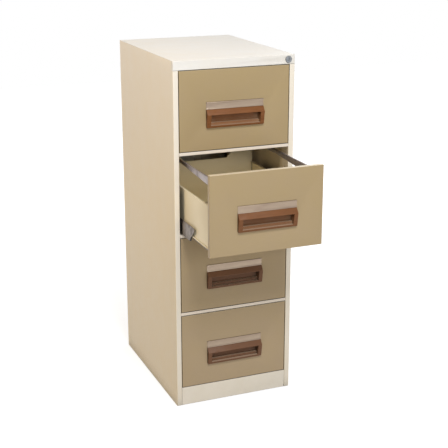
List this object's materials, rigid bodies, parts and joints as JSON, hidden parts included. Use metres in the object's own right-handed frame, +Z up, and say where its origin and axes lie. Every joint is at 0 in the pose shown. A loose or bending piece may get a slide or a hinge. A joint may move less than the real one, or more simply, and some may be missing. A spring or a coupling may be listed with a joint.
{
  "type": "filing cabinet",
  "caption": "Upright steel filing cabinet: a stack of drawers on telescopic roller slides, moulded recessed pulls, card holders and a gang lock; one drawer stands open.",
  "frame": {"origin": "on the floor under the feet, at the centre of the carcass in plan", "axes": "+X to the right of a person facing the drawers, +Y to the back, +Z up"},
  "size_m": [0.47, 0.9359, 1.32],
  "materials": {
    "cabinet_enamel": "satin cream stove enamel",
    "drawer_enamel": "satin tan stove enamel",
    "body_enamel": "satin beige stove enamel",
    "rail_steel": "zinc plated",
    "pull_plastic": "moulded brown plastic",
    "holder_aluminium": "extruded, satin",
    "slide_steel": "zinc plated",
    "roller_nylon": "moulded nylon",
    "buffer_rubber": "moulded rubber",
    "foot_plastic": "moulded black plastic",
    "lock_chrome": "satin chrome on die-cast zinc",
    "lock_steel": "zinc plated"
  },
  "bodies": {
    "cabinet": {"left_side_panel": "cabinet_enamel", "right_side_panel": "cabinet_enamel", "back_panel": "cabinet_enamel", "top_cover": "cabinet_enamel", "plinth": "cabinet_enamel", "base_pan": "cabinet_enamel", "cross_rails": "cabinet_enamel", "front_uprights": "cabinet_enamel", "rear_uprights": "cabinet_enamel", "levelling_feet": "foot_plastic", "cabinet_runners": "slide_steel", "runner_buffers": "buffer_rubber", "lock_barrel": "lock_chrome"},
    "lock_cylinder": {"lock_cylinder": "lock_chrome", "lock_cam": "lock_steel"},
    "lock_bar": {"lock_bar": "lock_steel"},
    "drawer_1": {"drawer_1_front": "drawer_enamel", "drawer_1_liner": "body_enamel", "drawer_1_tray": "body_enamel", "drawer_1_back": "body_enamel", "drawer_1_file_rails": "rail_steel", "drawer_1_handle": "pull_plastic", "drawer_1_label_holder": "holder_aluminium", "drawer_1_runners": "slide_steel"},
    "drawer_1_cradles": {"drawer_1_cradles": "slide_steel"},
    "drawer_1_front_rollers": {"drawer_1_front_rollers": "roller_nylon"},
    "drawer_1_rear_rollers": {"drawer_1_rear_rollers": "roller_nylon"},
    "drawer_2": {"drawer_2_front": "drawer_enamel", "drawer_2_liner": "body_enamel", "drawer_2_tray": "body_enamel", "drawer_2_back": "body_enamel", "drawer_2_file_rails": "rail_steel", "drawer_2_handle": "pull_plastic", "drawer_2_label_holder": "holder_aluminium", "drawer_2_runners": "slide_steel"},
    "drawer_2_cradles": {"drawer_2_cradles": "slide_steel"},
    "drawer_2_front_rollers": {"drawer_2_front_rollers": "roller_nylon"},
    "drawer_2_rear_rollers": {"drawer_2_rear_rollers": "roller_nylon"},
    "drawer_3": {"drawer_3_front": "drawer_enamel", "drawer_3_liner": "body_enamel", "drawer_3_tray": "body_enamel", "drawer_3_back": "body_enamel", "drawer_3_file_rails": "rail_steel", "drawer_3_handle": "pull_plastic", "drawer_3_label_holder": "holder_aluminium", "drawer_3_runners": "slide_steel"},
    "drawer_3_cradles": {"drawer_3_cradles": "slide_steel"},
    "drawer_3_front_rollers": {"drawer_3_front_rollers": "roller_nylon"},
    "drawer_3_rear_rollers": {"drawer_3_rear_rollers": "roller_nylon"},
    "drawer_4": {"drawer_4_front": "drawer_enamel", "drawer_4_liner": "body_enamel", "drawer_4_tray": "body_enamel", "drawer_4_back": "body_enamel", "drawer_4_file_rails": "rail_steel", "drawer_4_handle": "pull_plastic", "drawer_4_label_holder": "holder_aluminium", "drawer_4_runners": "slide_steel"},
    "drawer_4_cradles": {"drawer_4_cradles": "slide_steel"},
    "drawer_4_front_rollers": {"drawer_4_front_rollers": "roller_nylon"},
    "drawer_4_rear_rollers": {"drawer_4_rear_rollers": "roller_nylon"}
  },
  "joints": [
    {"name": "lock_bar_lift", "type": "slide", "parent": "cabinet", "child": "lock_bar", "axis": [0, 0, 1], "range_m": [0, 0.012]},
    {"name": "lock_cylinder_turn", "type": "hinge", "parent": "cabinet", "child": "lock_cylinder", "pos_m": [0.21, -0.315, 1.303], "axis": [0, -1, 0], "range_deg": [0, 90]},
    {"name": "drawer_1_slide", "type": "slide", "parent": "cabinet", "child": "drawer_1", "axis": [0, -1, 0], "range_m": [0, 0.54]},
    {"name": "drawer_1_cradle_slide", "type": "slide", "parent": "cabinet", "child": "drawer_1_cradles", "axis": [0, -1, 0], "range_m": [0, 0.27]},
    {"name": "drawer_1_front_rollers_spin", "type": "hinge", "parent": "drawer_1_cradles", "child": "drawer_1_front_rollers", "pos_m": [0, -0.248, 1.0035], "axis": [1, 0, 0], "range_deg": [0, 1547.5]},
    {"name": "drawer_1_rear_rollers_spin", "type": "hinge", "parent": "drawer_1_cradles", "child": "drawer_1_rear_rollers", "pos_m": [0, 0.251, 1.01], "axis": [1, 0, 0], "range_deg": [0, 1547.5]},
    {"name": "drawer_2_slide", "type": "slide", "parent": "cabinet", "child": "drawer_2", "axis": [0, -1, 0], "range_m": [-0.29, 0.25]},
    {"name": "drawer_2_cradle_slide", "type": "slide", "parent": "cabinet", "child": "drawer_2_cradles", "axis": [0, -1, 0], "range_m": [-0.145, 0.125]},
    {"name": "drawer_2_front_rollers_spin", "type": "hinge", "parent": "drawer_2_cradles", "child": "drawer_2_front_rollers", "pos_m": [0, -0.393, 0.6975], "axis": [1, 0, 0], "range_deg": [-831.3, 716.7]},
    {"name": "drawer_2_rear_rollers_spin", "type": "hinge", "parent": "drawer_2_cradles", "child": "drawer_2_rear_rollers", "pos_m": [0, 0.106, 0.704], "axis": [1, 0, 0], "range_deg": [-831.3, 716.7]},
    {"name": "drawer_3_slide", "type": "slide", "parent": "cabinet", "child": "drawer_3", "axis": [0, -1, 0], "range_m": [0, 0.54]},
    {"name": "drawer_3_cradle_slide", "type": "slide", "parent": "cabinet", "child": "drawer_3_cradles", "axis": [0, -1, 0], "range_m": [0, 0.27]},
    {"name": "drawer_3_front_rollers_spin", "type": "hinge", "parent": "drawer_3_cradles", "child": "drawer_3_front_rollers", "pos_m": [0, -0.248, 0.3915], "axis": [1, 0, 0], "range_deg": [0, 1547.5]},
    {"name": "drawer_3_rear_rollers_spin", "type": "hinge", "parent": "drawer_3_cradles", "child": "drawer_3_rear_rollers", "pos_m": [0, 0.251, 0.398], "axis": [1, 0, 0], "range_deg": [0, 1547.5]},
    {"name": "drawer_4_slide", "type": "slide", "parent": "cabinet", "child": "drawer_4", "axis": [0, -1, 0], "range_m": [0, 0.54]},
    {"name": "drawer_4_cradle_slide", "type": "slide", "parent": "cabinet", "child": "drawer_4_cradles", "axis": [0, -1, 0], "range_m": [0, 0.27]},
    {"name": "drawer_4_front_rollers_spin", "type": "hinge", "parent": "drawer_4_cradles", "child": "drawer_4_front_rollers", "pos_m": [0, -0.248, 0.0855], "axis": [1, 0, 0], "range_deg": [0, 1547.5]},
    {"name": "drawer_4_rear_rollers_spin", "type": "hinge", "parent": "drawer_4_cradles", "child": "drawer_4_rear_rollers", "pos_m": [0, 0.251, 0.092], "axis": [1, 0, 0], "range_deg": [0, 1547.5]}
  ],
  "couplings": [
    {"joint": "lock_cylinder_turn", "follows": "lock_bar_lift", "rad_per_m": 130.67},
    {"joint": "drawer_1_cradle_slide", "follows": "drawer_1_slide", "ratio": 0.5},
    {"joint": "drawer_1_front_rollers_spin", "follows": "drawer_1_slide", "rad_per_m": 50},
    {"joint": "drawer_1_rear_rollers_spin", "follows": "drawer_1_slide", "rad_per_m": 50},
    {"joint": "drawer_2_cradle_slide", "follows": "drawer_2_slide", "ratio": 0.5},
    {"joint": "drawer_2_front_rollers_spin", "follows": "drawer_2_slide", "rad_per_m": 50},
    {"joint": "drawer_2_rear_rollers_spin", "follows": "drawer_2_slide", "rad_per_m": 50},
    {"joint": "drawer_3_cradle_slide", "follows": "drawer_3_slide", "ratio": 0.5},
    {"joint": "drawer_3_front_rollers_spin", "follows": "drawer_3_slide", "rad_per_m": 50},
    {"joint": "drawer_3_rear_rollers_spin", "follows": "drawer_3_slide", "rad_per_m": 50},
    {"joint": "drawer_4_cradle_slide", "follows": "drawer_4_slide", "ratio": 0.5},
    {"joint": "drawer_4_front_rollers_spin", "follows": "drawer_4_slide", "rad_per_m": 50},
    {"joint": "drawer_4_rear_rollers_spin", "follows": "drawer_4_slide", "rad_per_m": 50}
  ]
}
